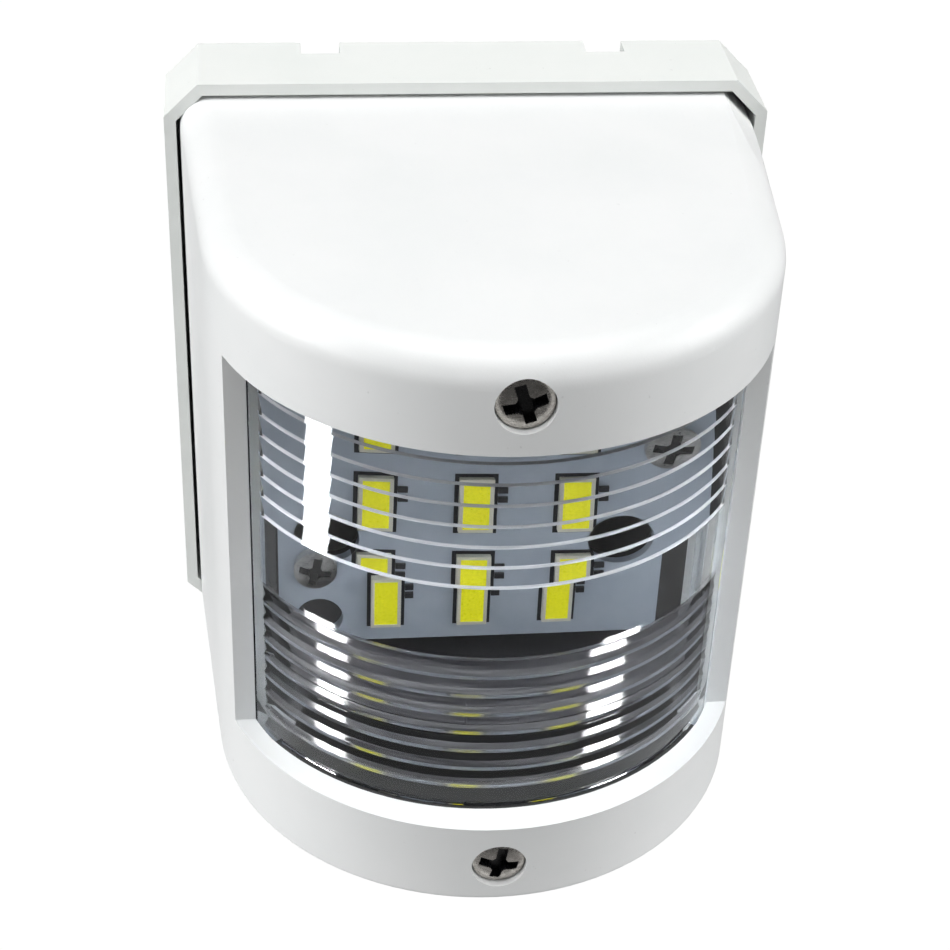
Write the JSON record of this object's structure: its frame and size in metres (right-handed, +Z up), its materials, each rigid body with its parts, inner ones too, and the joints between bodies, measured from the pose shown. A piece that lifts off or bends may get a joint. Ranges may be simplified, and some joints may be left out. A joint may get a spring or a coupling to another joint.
{
  "type": "navigation light",
  "caption": "Compact vertical-mount boat navigation light: white hood with a round nose, wide window with a ringed clear lens over an LED board, and a shallow wall tray.",
  "frame": {"origin": "centre of the back face that lies against the wall", "axes": "+Z up along the wall, +X to the right of somebody looking at the lens, light shines towards -Y, the wall is the plane y = 0"},
  "size_m": [0.0676, 0.0662, 0.072],
  "materials": {
    "white_housing": "satin moulded ABS",
    "black_carrier": "fine matte",
    "clear_lens": "clear polished polycarbonate",
    "black_rubber": "matte",
    "stainless": "satin",
    "brass": "turned",
    "board_white": "white solder mask",
    "led_cup": "moulded cup",
    "phosphor": "yellow silicone",
    "chip_black": "chip body",
    "terminal_green": "moulded",
    "wire_black": "PVC",
    "wire_red": "PVC",
    "solder": "tin"
  },
  "bodies": {
    "base": {"mounting_base": "white_housing", "wall_gasket": "black_rubber", "cable_grommet": "black_rubber", "body_seal": "black_rubber", "lamp_carrier": "black_carrier", "carrier_screws": "stainless", "threaded_inserts": "brass", "led_board": "board_white", "led_packages": "led_cup", "led_phosphors": "phosphor", "board_resistors": "chip_black", "protection_diode": "chip_black", "board_screws": "stainless", "terminal_block": "terminal_green", "terminal_clamps": "brass", "terminal_screws": "stainless", "lead_wire_black": "wire_black", "lead_wire_red": "wire_red", "solder_joints": "solder"},
    "front_cover": {"front_housing": "white_housing", "lens": "clear_lens", "lens_seal_upper": "black_rubber", "lens_seal_lower": "black_rubber"},
    "upper_screw": {"cover_screw_upper": "stainless", "screw_oring_upper": "black_rubber"},
    "lower_screw": {"cover_screw_lower": "stainless", "screw_oring_lower": "black_rubber"}
  },
  "joints": [
    {"name": "cover_pull", "type": "slide", "parent": "base", "child": "front_cover", "axis": [0, -1, 0], "range_m": [0, 0.062]},
    {"name": "upper_screw_draw", "type": "slide", "parent": "front_cover", "child": "upper_screw", "axis": [0, -1, 0], "range_m": [0, 0.014]},
    {"name": "lower_screw_draw", "type": "slide", "parent": "front_cover", "child": "lower_screw", "axis": [0, -1, 0], "range_m": [0, 0.014]}
  ]
}
